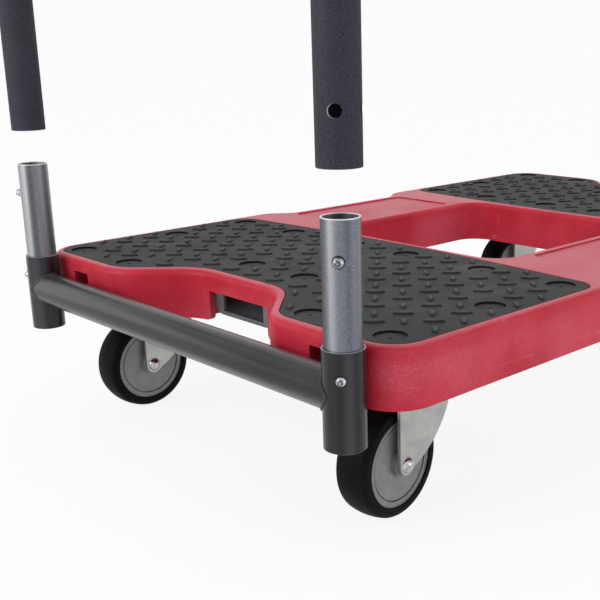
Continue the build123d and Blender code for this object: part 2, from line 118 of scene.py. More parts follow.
class Corner(Enum):
    """The four casters, by the start of their nodes' names."""

    HANDLE_RIGHT = "handle_right"
    HANDLE_LEFT = "handle_left"
    FAR_RIGHT = "far_right"
    FAR_LEFT = "far_left"


class Slot(Enum):
    """The record's material slots."""

    RED_MOULDING = "red_moulding"
    TREAD_RUBBER = "tread_rubber"
    CHARCOAL_PAINT = "charcoal_paint"
    GALVANISED_TUBE = "galvanised_tube"
    ZINC_PLATE = "zinc_plate"
    DARK_STEEL = "dark_steel"
    BRIGHT_STEEL = "bright_steel"
    SPRING_STEEL = "spring_steel"
    HUB_GREY = "hub_grey"
    TYRE_BLACK = "tyre_black"


def linear(colour: Colour) -> tuple[float, float, float, float]:
    """Turn a display colour into a shader colour, by the sRGB curve.

    Args:
        colour: Red, green and blue from 0 to 255.

    Returns:
        The same colour in linear light, with full alpha.
    """
    shares = [channel / 255 for channel in colour]
    parts = [s / 12.92 if s <= 0.04045 else ((s + 0.055) / 1.055) ** 2.4 for s in shares]
    return (parts[0], parts[1], parts[2], 1.0)


class Signal:
    """A node's output socket that can be used in a sum or a product."""

    def __init__(self, graph: "Graph", socket: bpy.types.NodeSocket) -> None:
        """Keep the socket and the graph that it belongs to."""
        self.graph = graph
        self.socket = socket

    def _math(self, operation: str, first: "Signal | float", second: "Signal | float") -> "Signal":
        """Add one Math node to the graph."""
        return self.graph.node("ShaderNodeMath", {"operation": operation}, {0: first, 1: second})

    def __add__(self, other: "Signal | float") -> "Signal":
        """Sum of two values."""
        return self._math("ADD", self, other)

    def __sub__(self, other: "Signal | float") -> "Signal":
        """Difference of two values."""
        return self._math("SUBTRACT", self, other)

    def __rsub__(self, other: float) -> "Signal":
        """Difference with a number on the left."""
        return self._math("SUBTRACT", other, self)

    def __mul__(self, other: "Signal | float") -> "Signal":
        """Product of two values."""
        return self._math("MULTIPLY", self, other)

    __radd__ = __add__
    __rmul__ = __mul__

    def rise(self, low: float, high: float) -> "Signal":
        """Smooth step between two values.

        Args:
            low: Value at and below which the result is 0.
            high: Value at and above which the result is 1.

        Returns:
            The step, from 0 to 1.
        """
        settings = {"interpolation_type": "SMOOTHSTEP"}
        return self.graph.node("ShaderNodeMapRange", settings, {0: self, 1: low, 2: high, 3: 0.0, 4: 1.0})


def weigh(shares: Shares, *signals: Signal) -> Signal:
    """Add signals up by their shares.

    Args:
        shares: The sum where every signal is 0, then a share for each signal.
        signals: The signals.

    Returns:
        The sum.
    """
    total: Any = shares[0]
    for share, signal in zip(shares[1:], signals):
        total = total + share * signal
    return total


@dataclass(frozen=True)
class Noise:
    """A cloudy pattern.

    Attributes:
        size: Size of its clouds, in metres.
        detail: How many finer layers it has.
        rough: Strength of each finer layer.
        stretch: Share of each axis's scale; a small share draws the pattern out along it.
        turn: Turn about the Z axis, in degrees, before the stretch.
        depth: How far it raises the surface, in metres.
    """

    size: float
    detail: float = 2.0
    rough: float = 0.5
    stretch: Point = EVEN
    turn: float = 0.0
    depth: float = 0.0


class Graph:
    """The nodes of one material or world."""

    def __init__(self, owner: Material | bpy.types.World) -> None:
        """Start the owner's nodes afresh."""
        owner.use_nodes = True
        self.owner = owner
        self.tree = owner.node_tree
        self.tree.nodes.clear()

    @classmethod
    def material(cls, name: str) -> "Graph":
        """Start a new material."""
        return cls(bpy.data.materials.new(name))

    def node(
        self,
        kind: str,
        settings: dict[str, Any] | None = None,
        inputs: dict[int | str, Any] | None = None,
        output: int | str = 0,
    ) -> Signal:
        """Add any node.

        Args:
            kind: The node's type.
            settings: Properties of the node, set before its sockets.
            inputs: Values or signals for its sockets, by index or name.
            output: The socket to hand back.

        Returns:
            The chosen output.
        """
        made = self.tree.nodes.new(kind)
        for name, value in (settings or {}).items():
            setattr(made, name, value)
        for name, value in (inputs or {}).items():
            if isinstance(value, Signal):
                self.tree.links.new(value.socket, made.inputs[name])
            else:
                made.inputs[name].default_value = value
        return Signal(self, made.outputs[output])

    def place(self) -> Signal:
        """Position on the piece, in metres."""
        return self.node("ShaderNodeTexCoord", output="Object")

    def height(self) -> Signal:
        """Height above the floor, in metres, while the part is at rest."""
        return self.node("ShaderNodeSeparateXYZ", inputs={0: self.place()}, output=2)

    def upward(self) -> Signal:
        """How far the surface faces up: 1 for level, 0 for upright and -1 for an underside."""
        normal = self.node("ShaderNodeTexCoord", output="Normal")
        return self.node("ShaderNodeSeparateXYZ", inputs={0: normal}, output=2)

    def close_to(self, point: Vector, inner: float, outer: float) -> Signal:
        """How close the surface is to a point.

        Args:
            point: The point, in the frame's metres.
            inner: Distance up to which the result is 1.
            outer: Distance from which the result is 0.

        Returns:
            The closeness, from 0 to 1.
        """
        inputs = {0: self.place(), 1: tuple(point)}
        far = self.node("ShaderNodeVectorMath", {"operation": "DISTANCE"}, inputs, "Value")
        return 1 - far.rise(inner, outer)

    def noise(self, pattern: Noise) -> Signal:
        """Cloudy noise.

        Args:
            pattern: Its size, layers and direction.

        Returns:
            A value about 0.5.
        """
        spot = self.place()
        if pattern.turn:
            angle = (0.0, 0.0, math.radians(pattern.turn))
            spot = self.node("ShaderNodeVectorRotate", {"rotation_type": "EULER_XYZ"},
                             {"Vector": spot, "Rotation": angle})
        if pattern.stretch != EVEN:
            spot = self.node("ShaderNodeMapping", {"vector_type": "POINT"},
                             {"Vector": spot, "Scale": pattern.stretch})
        inputs = {"Vector": spot, "Scale": 1 / pattern.size, "Detail": pattern.detail,
                  "Roughness": pattern.rough}
        return self.node("ShaderNodeTexNoise", inputs=inputs)

    def cells(self, size: float) -> Signal:
        """Pattern of irregular cells.

        Args:
            size: Size of a cell, in metres.

        Returns:
            The distance to the cell's middle, as a share of its size.
        """
        inputs = {"Vector": self.place(), "Scale": 1 / size}
        return self.node("ShaderNodeTexVoronoi", inputs=inputs, output="Distance")

    def seen_directly(self) -> Signal:
        """Share of rays that see the background: camera, glossy and transmission rays.

        Returns:
            1 for those rays, and 0 for the rest.
        """
        names = ("Is Camera Ray", "Is Glossy Ray", "Is Transmission Ray")
        camera, glossy, through = [self.node("ShaderNodeLightPath", output=name) for name in names]
        return (camera + glossy + through).rise(0.0, 1.0)

    def layers(self, base: Colour, *coats: tuple[Signal, Colour]) -> Signal:
        """Lay coats of colour over each other.

        Args:
            base: The lowest colour.
            coats: Share and colour of each coat, from the lowest up.

        Returns:
            The colour that they make.
        """
        below: Any = linear(base)
        settings = {"data_type": "RGBA", "clamp_factor": True}
        for share, colour in coats:
            below = self.node("ShaderNodeMix", settings, {0: share, 6: below, 7: linear(colour)}, output=2)
        return below

    def bump(self, height: Signal, depth: float, under: Signal | None = None) -> Signal:
        """Normal of a surface that is raised by a value.

        Args:
            height: The raised value, from 0 to 1.
            depth: How far 1 stands above 0, in metres.
            under: Normal of a coarser bump below this one.

        Returns:
            The normal.
        """
        inputs: dict[int | str, Any] = {"Strength": 1.0, "Distance": depth, "Height": height}
        if under:
            inputs["Normal"] = under
        return self.node("ShaderNodeBump", inputs=inputs)

    def surface(
        self, colour: Signal, rough: Signal, normal: Signal, metal: float = 0.0, gloss: float = 0.5
    ) -> Material:
        """Finish the material with one surface shader.

        Args:
            colour: Its base colour.
            rough: Its roughness.
            normal: Its normal, with all the bumps.
            metal: How far it is a metal.
            gloss: How far it mirrors where it isn't one.

        Returns:
            The finished material.
        """
        inputs = {"Base Color": colour, "Roughness": rough, "Normal": normal, "Metallic": metal,
                  "Specular IOR Level": gloss}
        return self.close(self.node("ShaderNodeBsdfPrincipled", inputs=inputs))

    def close(self, shader: Signal) -> Material | bpy.types.World:
        """Send a shader to the owner's surface.

        Args:
            shader: The finished shader.

        Returns:
            The owner.
        """
        kind = "World" if isinstance(self.owner, bpy.types.World) else "Material"
        target = self.tree.nodes.new(f"ShaderNodeOutput{kind}")
        self.tree.links.new(shader.socket, target.inputs["Surface"])
        return self.owner


@dataclass(frozen=True)
class RedMoulding:
    """Moulded plastic: fine stipple, dusty haze in worn areas, pale scuffs, and level tops paled partly by rubbing
    and partly by a painted highlight.
    """

    deck_top: float
    body: Colour = (190, 42, 61)
    deep: Colour = (178, 33, 51)
    # The dusty pink is also the colour of the painted highlight on the level tops.
    dusty: Colour = (206, 104, 120)
    scuff: Colour = (226, 158, 168)
    stipple: Noise = Noise(0.0012, depth=0.00004)
    speckle: Noise = Noise(0.0012, 3.0, 0.6, (0.5, 0.5, 1.0), 20.0)
    cloud: Noise = Noise(0.050, 3.0, depth=0.0004)
    worn: Noise = Noise(0.110)
    wisp: Noise = Noise(0.026, 6.0, 0.62, (1.0, 1.0, 0.22), 37.0)
    scrape: Noise = Noise(0.0104, 5.0, 0.6, (0.12, 0.30, 1.0), 12.0)
    haze: Shares = (0.0, 0.06, 0.24)
    dots: Shares = (0.12, 0.26)
    scuffs: Shares = (0.0, 0.30, 0.28)
    rub: Shares = (0.38, 0.36)
    rub_depth: float = 0.006
    clean_depth: float = 0.018
    clean_share: float = 0.6
    rough: Shares = (0.32, 0.10, 0.10, 0.10)
    gloss: float = 0.16

    def material(self) -> Material:
        """Build the shader."""
        graph = Graph.material(Slot.RED_MOULDING.value)
        speckle = graph.noise(self.speckle)
        cloud = graph.noise(self.cloud)
        worn = graph.noise(self.worn).rise(0.46, 0.66)
        height = graph.height()
        clean = height.rise(self.deck_top - self.clean_depth, self.deck_top - self.rub_depth)
        haze = weigh(self.haze, cloud, worn) + speckle.rise(0.46, 0.74) * weigh(self.dots, worn)
        wisp = graph.noise(self.wisp).rise(0.62, 0.80)
        scuffs = weigh(self.scuffs, wisp, graph.noise(self.scrape).rise(0.64, 0.80))
        # Level tops within a few millimetres of the deck's top: partly rubbed pale, partly a painted highlight
        # standing in for the glare off them.
        top = height.rise(self.deck_top - self.rub_depth, self.deck_top) * graph.upward().rise(0.70, 0.97)
        colour = graph.layers(
            self.deep,
            (cloud.rise(0.36, 0.64), self.body),
            (haze * (1 - self.clean_share * clean), self.dusty),
            (scuffs, self.scuff),
            (top * weigh(self.rub, speckle.rise(0.40, 0.66)), self.dusty),
        )
        stipple = graph.noise(self.stipple)
        normal = graph.bump(stipple, self.stipple.depth, graph.bump(cloud, self.cloud.depth))
        return graph.surface(colour, weigh(self.rough, speckle, worn, scuffs), normal, gloss=self.gloss)


@dataclass(frozen=True)
class TreadRubber:
    """Moulded rubber of the tread pads: dust on it, rubbed tops, and painted shade on every face that tilts away
    from level.
    """

    pad_top: float
    body: Colour = (51, 52, 53)
    worn: Colour = (66, 66, 67)
    rubbed: Colour = (94, 94, 95)
    # Near-black colour of the painted shade on the tilted faces.
    grime: Colour = (5, 5, 5)
    dust: Colour = (122, 121, 119)
    grain: Noise = Noise(0.0013, 3.0, depth=0.00006)
    patch: Noise = Noise(0.045, 4.0, 0.6, depth=0.0005)
    smear: Noise = Noise(0.045, 5.0, 0.65, (0.35, 1.0, 1.0), 30.0)
    fleck_size: float = 0.016
    fleck_share: float = 0.40
    dusting: Shares = (0.0, 0.10, 0.22)
    rub: Shares = (0.25, 0.45)
    rub_reach: Reach = (0.0010, 0.0016)
    slopes: Shares = (0.0, 0.60, 0.35)
    rough: Shares = (0.60, 0.20, 0.08)
    gloss: float = 0.20

    def material(self) -> Material:
        """Build the shader."""
        graph = Graph.material(Slot.TREAD_RUBBER.value)
        grain = graph.noise(self.grain)
        patch = graph.noise(self.patch)
        fleck = 1 - graph.cells(self.fleck_size).rise(0.03, 0.06)
        smear = graph.noise(self.smear).rise(0.55, 0.78)
        start, full = self.rub_reach
        raised = graph.height().rise(self.pad_top + start, self.pad_top + full)
        facing_up = graph.upward()
        # Painted shade: darker on sloping faces and dimple walls, darkest on upright sides and undersides.
        slopes = weigh(self.slopes, 1 - facing_up.rise(0.72, 0.97), 1 - facing_up.rise(0.05, 0.40))
        colour = graph.layers(
            self.body,
            (patch.rise(0.36, 0.66), self.worn),
            (fleck * self.fleck_share * patch.rise(0.46, 0.60), self.dust),
            (weigh(self.dusting, grain.rise(0.56, 0.76), smear), self.dust),
            (raised * weigh(self.rub, patch), self.rubbed),
            (slopes, self.grime),
        )
        normal = graph.bump(grain, self.grain.depth, graph.bump(patch, self.patch.depth))
        return graph.surface(colour, weigh(self.rough, patch, grain), normal, gloss=self.gloss)


@dataclass(frozen=True)
class PowderCoat:
    """Charcoal paint: painted sheen bands, bluish flecks, dust and a painted top light on upward faces, unpainted
    cut edges with a painted highlight, and oily dirt with painted shade round the buttons.
    """

    name: str
    cut_height: float
    marks: Points = ()
    rims: Points = ()
    body: Colour = (52, 51, 57)
    deep: Colour = (45, 44, 49)
    sheen: Colour = (48, 50, 68)
    fleck: Colour = (82, 86, 112)
    dust: Colour = (124, 122, 122)
    grease: Colour = (9, 9, 10)
    scratch: Colour = (112, 112, 116)
    bare: Colour = (158, 158, 160)
    peel: Noise = Noise(0.0030, depth=0.00006)
    patch: Noise = Noise(0.060, 3.0, depth=0.0003)
    vein: Noise = Noise(0.0008, 1.0)
    fleck_share: float = 0.34
    band: Noise = Noise(0.0100, 1.0, stretch=(1.0, 1.0, 0.010))
    sheen_share: float = 0.50
    scrape: Noise = Noise(0.010, 5.0, 0.62, (1.0, 1.0, 0.10), 25.0)
    scratch_share: float = 0.30
    dusting: Shares = (0.04, 0.16)
    mark_reach: Reach = (0.0044, 0.0051)
    mark_share: float = 0.9
    rim_reach: Reach = (0.00498, 0.00508)
    cut_width: float = 0.0005
    rough: Shares = (0.52, 0.12, 0.08)
    gloss: float = 0.18

    def polished(self) -> "PowderCoat":
        """The same coat, darker and glossier, as on the sockets and hooks."""
        return replace(self, body=(12, 11, 15), deep=(8, 7, 10), sheen=(52, 51, 57), bare=(116, 116, 118),
                       peel=Noise(0.0030, depth=0.00002), fleck_share=0.05, sheen_share=0.9,
                       band=Noise(0.0140, 1.0, stretch=(1.0, 1.0, 0.010)), rough=(0.17, 0.12, 0.08),
                       gloss=0.4)

    def streaked(self) -> "PowderCoat":
        """The same coat with its painted sheen bands drawn out along the cross bar."""
        return replace(self, name="charcoal_paint_streaked", body=(13, 8, 10), deep=(7, 4, 5),
                       sheen=(74, 70, 72), band=Noise(0.0120, 1.0, stretch=(1.0, 0.020, 1.0)))

    def material(self) -> Material:
        """Build the shader."""
        graph = Graph.material(self.name)
        vein = graph.noise(self.vein)
        patch = graph.noise(self.patch)
        height = graph.height()
        above = height.rise(self.cut_height - self.cut_width, self.cut_height - self.cut_width / 2)
        below = 1 - height.rise(self.cut_height + self.cut_width / 2, self.cut_height + self.cut_width)
        # Dark rings round the buttons where they come out: partly oily dirt, partly painted shade of the gap round
        # each button.
        marks = [graph.close_to(mark, *self.mark_reach) * self.mark_share for mark in self.marks]
        colour = graph.layers(
            self.deep,
            (patch.rise(0.36, 0.64), self.body),
            # Painted sheen: soft lighter bands that stand in for reflections running along the tube or bar.
            (graph.noise(self.band).rise(0.38, 0.66) * self.sheen_share, self.sheen),
            ((1 - vein.rise(0.30, 0.48)) * (2 * self.fleck_share), self.grease),
            (vein.rise(0.58, 0.74) * self.fleck_share, self.fleck),
            (graph.noise(self.scrape).rise(0.70, 0.82) * self.scratch_share, self.scratch),
            # Upward faces lighter: partly settled dust, partly a painted top light.
            (graph.upward().rise(0.35, 1.0) * weigh(self.dusting, patch), self.dust),
            *((mark, self.grease) for mark in marks),
            *((graph.close_to(rim, *self.rim_reach), self.bare) for rim in self.rims),
            # A pale line round the cut top: unpainted metal and a painted highlight.
            (above * below, self.bare),
        )
        normal = graph.bump(graph.noise(self.peel), self.peel.depth, graph.bump(patch, self.patch.depth))
        return graph.surface(colour, weigh(self.rough, patch, vein), normal, gloss=self.gloss)


@dataclass(frozen=True)
class GalvanisedTube:
    """Galvanised steel tube: drawn streaks along it that double as painted reflection bands, a fine crystal grain
    with painted glints, oily dirt with painted shade round the buttons, and a bright cut top with a painted
    highlight.
    """

    stub_top: float
    marks: Points
    light: Colour = (166, 166, 168)
    dull: Colour = (124, 126, 130)
    dark: Colour = (80, 82, 87)
    blue: Colour = (112, 120, 148)
    cut_edge: Colour = (216, 217, 219)
    grease: Colour = (38, 38, 42)
    grain: Noise = Noise(0.0008, 1.0, stretch=(1.0, 1.0, 0.7), depth=0.00003)
    streak: Noise = Noise(0.0093, 0.0, stretch=(1.0, 1.0, 0.010))
    band: Noise = Noise(0.01209, 0.0, 0.5, (1.0, 1.0, 0.010), 60.0)
    band_share: float = 0.22
    stain: Noise = Noise(0.012, 4.0, 0.6, (1.0, 1.0, 0.4))
    grains: Shares = (0.12, 0.36)
    glint_share: float = 0.25
    mark_reach: Reach = (0.0044, 0.0051)
    mark_share: float = 0.9
    cut_reach: Reach = (0.0010, 0.0004)
    rough: Shares = (0.28, 0.14, 0.14)
    metal: float = 0.9

    def material(self) -> Material:
        """Build the shader."""
        graph = Graph.material(Slot.GALVANISED_TUBE.value)
        grain = graph.noise(self.grain)
        streak = graph.noise(self.streak)
        stain = graph.noise(self.stain)
        start, full = self.cut_reach
        # Dark rings round the buttons: partly oily dirt, partly painted shade of the gap round each button.
        marks = [graph.close_to(mark, *self.mark_reach) * self.mark_share for mark in self.marks]
        colour = graph.layers(
            self.dark,
            # Drawn streaks down the tube that also stand in as painted reflection bands, with painted bluish
            # reflection bands over them.
            (streak.rise(0.30, 0.56), self.dull),
            (streak.rise(0.50, 0.74), self.light),
            (graph.noise(self.band).rise(0.44, 0.70) * self.band_share, self.blue),
            (grain.rise(0.52, 0.70) * weigh(self.grains, stain), self.dark),
            ((1 - grain.rise(0.30, 0.46)) * self.glint_share, self.light),
            *((mark, self.grease) for mark in marks),
            # Bright line at the cut top: unpainted cut metal and a painted highlight.
            (graph.height().rise(self.stub_top - start, self.stub_top - full), self.cut_edge),
        )
        normal = graph.bump(grain, self.grain.depth)
        return graph.surface(colour, weigh(self.rough, stain, grain), normal, self.metal)


@dataclass(frozen=True)
class ZincPlate:
    """Zinc-plated pressed steel with a faint rolled grain and dull patches."""

    light: Colour = (176, 177, 174)
    dull: Colour = (162, 163, 161)
    stain: Colour = (132, 131, 127)
    patch: Noise = Noise(0.020, 4.0, 0.6, depth=0.0001)
    grain: Noise = Noise(0.0009, stretch=(1.0, 1.0, 0.12), depth=0.00002)
    blot: Noise = Noise(0.008, 5.0, 0.65)
    stain_share: float = 0.4
    rough: Shares = (0.28, 0.14, 0.10)
    metal: float = 0.9

    def material(self) -> Material:
        """Build the shader."""
        graph = Graph.material(Slot.ZINC_PLATE.value)
        patch = graph.noise(self.patch)
        grain = graph.noise(self.grain)
        colour = graph.layers(
            self.dull,
            (patch.rise(0.34, 0.62), self.light),
            (graph.noise(self.blot).rise(0.62, 0.82) * self.stain_share, self.stain),
        )
        normal = graph.bump(grain, self.grain.depth, graph.bump(patch, self.patch.depth))
        return graph.surface(colour, weigh(self.rough, patch, grain), normal, self.metal)


@dataclass(frozen=True)
class AnchorSteel:
    """Dull zinc of the strap anchors, with painted shade on everything behind the front plate."""

    middle: float
    front: float
    light: Colour = (124, 123, 128)
    dull: Colour = (104, 103, 108)
    # Near-black of the dark grain and of the painted shade behind the plate.
    inside: Colour = (38, 37, 41)
    patch: Noise = Noise(0.020, 4.0, 0.6, depth=0.0002)
    grain: Noise = Noise(0.0010, stretch=(1.0, 0.15, 1.0), depth=0.00002)
    grain_share: float = 0.25
    plate: float = 0.003
    plate_fade: float = 0.0005
    shade: Shares = (0.75, 0.25)
    rough: Shares = (0.42, 0.16, 0.10)
    metal: float = 0.85

    def material(self) -> Material:
        """Build the shader."""
        graph = Graph.material(Slot.DARK_STEEL.value)
        patch = graph.noise(self.patch)
        grain = graph.noise(self.grain)
        along = graph.node("ShaderNodeSeparateXYZ", inputs={0: graph.place()}) - self.middle
        back = self.front - self.plate
        # Painted shade: everything further back than the front plate is darkened.
        behind = 1 - (along * along).rise((back - self.plate_fade) ** 2, (back + self.plate_fade) ** 2)
        colour = graph.layers(
            self.dull,
            (patch.rise(0.34, 0.64), self.light),
            (grain.rise(0.56, 0.80) * self.grain_share, self.inside),
            (behind * weigh(self.shade, patch), self.inside),
        )
        normal = graph.bump(grain, self.grain.depth, graph.bump(patch, self.patch.depth))
        return graph.surface(colour, weigh(self.rough, patch, grain), normal, self.metal)


@dataclass(frozen=True)
class Steel:
    """Bare steel of the snap buttons, axles, balls and springs, with a painted dark reflection on the buttons'
    tips.
    """

    name: str
    light: Colour = (196, 197, 200)
    dull: Colour = (150, 152, 157)
    rough: Shares = (0.12, 0.16)
    tips: Points = ()
    tarnish: Colour = (58, 60, 66)
    haze: Noise = Noise(0.004, 4.0, 0.6, depth=0.00002)
    tip_reach: Reach = (0.0020, 0.0027)
    eye_reach: Reach = (0.0006, 0.0016)
    tip: Shares = (0.9, -0.7)
    metal: float = 1.0

    @classmethod
    def sprung(cls) -> "Steel":
        """Duller steel of the leaf springs."""
        return cls(Slot.SPRING_STEEL.value, (150, 150, 154), (112, 112, 118), (0.22, 0.16))

    def material(self) -> Material:
        """Build the shader."""
        graph = Graph.material(self.name)
        haze = graph.noise(self.haze)
        spots = []
        # Painted dark reflection on each button's dome: a dark patch round the tip, lighter at its very middle.
        for tip in self.tips:
            dark = weigh(self.tip, graph.close_to(tip, *self.eye_reach))
            spots.append((graph.close_to(tip, *self.tip_reach) * dark, self.tarnish))
        colour = graph.layers(self.dull, (haze.rise(0.35, 0.65), self.light), *spots)
        return graph.surface(colour, weigh(self.rough, haze), graph.bump(haze, self.haze.depth), self.metal)


@dataclass(frozen=True)
class HubGrey:
    """Grey moulded plastic of the wheel cores, with road dust in it."""

    body: Colour = (120, 121, 123)
    pale: Colour = (130, 131, 132)
    grime: Colour = (98, 96, 94)
    grain: Noise = Noise(0.0012, depth=0.00003)
    patch: Noise = Noise(0.014, 5.0, 0.62)
    grime_share: float = 0.12
    rough: Shares = (0.38, 0.08, 0.06)
    metal: float = 0.35

    def material(self) -> Material:
        """Build the shader."""
        graph = Graph.material(Slot.HUB_GREY.value)
        grain = graph.noise(self.grain)
        patch = graph.noise(self.patch)
        colour = graph.layers(
            self.body,
            (patch.rise(0.34, 0.62), self.pale),
            (patch.rise(0.62, 0.82) * self.grime_share, self.grime),
        )
        normal = graph.bump(grain, self.grain.depth)
        return graph.surface(colour, weigh(self.rough, patch, grain), normal, self.metal)


@dataclass(frozen=True)
class TyreRubber:
    """Black tyre rubber with a dusty bloom."""

    body: Colour = (9, 9, 10)
    bloom: Colour = (19, 19, 19)
    dust: Colour = (66, 64, 60)
    grain: Noise = Noise(0.0010, 3.0, depth=0.00005)
    patch: Noise = Noise(0.018, 5.0, 0.62)
    bloom_share: float = 0.7
    dust_share: float = 0.25
    rough: Shares = (0.50, 0.20)
    gloss: float = 0.07

    def material(self) -> Material:
        """Build the shader."""
        graph = Graph.material(Slot.TYRE_BLACK.value)
        grain = graph.noise(self.grain)
        patch = graph.noise(self.patch)
        colour = graph.layers(
            self.body,
            (patch.rise(0.40, 0.70) * self.bloom_share, self.bloom),
            (grain.rise(0.60, 0.78) * patch.rise(0.45, 0.65) * self.dust_share, self.dust),
        )
        normal = graph.bump(grain, self.grain.depth)
        return graph.surface(colour, weigh(self.rough, patch), normal, gloss=self.gloss)


@dataclass(frozen=True)
class PaleFloor:
    """White floor that looks as bright as the background and keeps the object's shadow."""

    white: Colour = (250, 250, 250)
    glow: float = 0.88

    def material(self) -> Material:
        """Build the shader."""
        graph = Graph.material("pale_floor")
        seen = graph.seen_directly()
        matt = graph.node("ShaderNodeBsdfDiffuse", inputs={"Color": linear(self.white)})
        shine = graph.node("ShaderNodeEmission", inputs={"Strength": 1.0})
        mixed = graph.node("ShaderNodeMixShader", inputs={0: seen * self.glow, 1: matt, 2: shine})
        return graph.close(mixed)


def dress(node: str, material: Material) -> None:
    """Give a solid of the frame a finish.

    Args:
        node: The node's name.
        material: Its finish.
    """
    for slot in frame["nodes"][node].material_slots:
        slot.material = material
    LOG.info("dressed %s in %s", node, material.name)


def merged_copy(node: str) -> Mesh:
    """Copy the shape of a solid of the frame, with its triangles joined at their corners.

    Args:
        node: The node's name.

    Returns:
        The copy.
    """
    mesh = bmesh.new()
    mesh.from_mesh(frame["nodes"][node].data)
    bmesh.ops.remove_doubles(mesh, verts=mesh.verts, dist=MERGE_DISTANCE)
    return mesh


def add_object(name: str, data: bpy.types.ID) -> bpy.types.Object:
    """Add an object to the scene, at the origin.

    Args:
        name: Its name.
        data: Its mesh, lamp or lens.

    Returns:
        The new object.
    """
    made = bpy.data.objects.new(name, data)
    bpy.context.scene.collection.objects.link(made)
    return made


def new_piece(name: str, mesh: Mesh, material: Material) -> bpy.types.Object:
    """Turn a finished bmesh into a piece that still has to be tied to a body.

    Args:
        name: Name of the piece.
        mesh: Its shape, in the frame's metres, which is freed.
        material: Its finish.

    Returns:
        The new object.
    """
    bmesh.ops.recalc_face_normals(mesh, faces=mesh.faces)
    data = bpy.data.meshes.new(name)
    mesh.to_mesh(data)
    mesh.free()
    data.shade_smooth()
    data.set_sharp_from_angle(angle=math.radians(SHARP_DEGREES))
    data.materials.append(material)
    piece = add_object(name, data)
    LOG.info("made %s with %d faces", name, len(data.polygons))
    return piece


@dataclass
class Deck:
    """The red deck moulding, with the pockets behind its hook slots."""

    mouth_inset: float = 0.0055
    pocket_depth: float = 0.0200
    pocket_room: float = 0.0035
    pocket_wall: float = 0.0014
    pocket_lift: float = 0.0003
    pocket_round: float = 0.0020
    round_steps: int = 3

    def build(self) -> None:
        """Dress the deck and close its hook slots from behind."""
        material = RedMoulding(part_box("deck")[1].z).material()
        dress("deck", material)
        for end in End:
            for side in Side:
                name = f"{end.value}_{side.word}_hook_pocket"
                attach(new_piece(name, self.pocket(end, side), material), BASE)

    def pocket(self, end: End, side: Side) -> Mesh:
        """Mould the pocket that a hook drops into, open towards its slot.

        Args:
            end: The deck's end.
            side: The slot's side.

        Returns:
            The pocket.
        """
        openings = frame["record"]["physics"]["openings"]
        slots = {opening["name"]: opening["box_m"] for opening in openings}
        slot_low, slot_high = [Vector(corner) for corner in slots[f"far_{side.word}_hook_slot"]]
        deck_low, deck_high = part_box("deck")
        mouth = deck_high.x - self.mouth_inset
        floor = deck_low.z + self.pocket_lift
        low = Vector((mouth - self.pocket_depth, slot_low.y - self.pocket_room, floor))
        high = Vector((mouth, slot_high.y + self.pocket_room, slot_high.z + self.pocket_room))
        mesh = bmesh.new()
        made = bmesh.ops.create_cube(mesh, size=1.0)
        bmesh.ops.scale(mesh, vec=high - low, verts=made["verts"])
        bmesh.ops.translate(mesh, vec=(low + high) / 2, verts=made["verts"])
        front = [face for face in mesh.faces if face.normal.x > FACING]
        bmesh.ops.delete(mesh, geom=front, context="FACES_ONLY")
        folds = [edge for edge in mesh.edges if not edge.is_boundary]
        bmesh.ops.bevel(mesh, geom=folds, offset=self.pocket_round, affect="EDGES",
                        segments=self.round_steps, profile=0.5, material=-1)
        bmesh.ops.solidify(mesh, geom=mesh.faces[:], thickness=self.pocket_wall)
        if end is End.HANDLE:
            middle = (deck_low + deck_high) / 2
            bmesh.ops.scale(mesh, vec=(-1.0, 1.0, 1.0), verts=mesh.verts,
                            space=Matrix.Translation((-middle.x, 0.0, 0.0)))
        return mesh


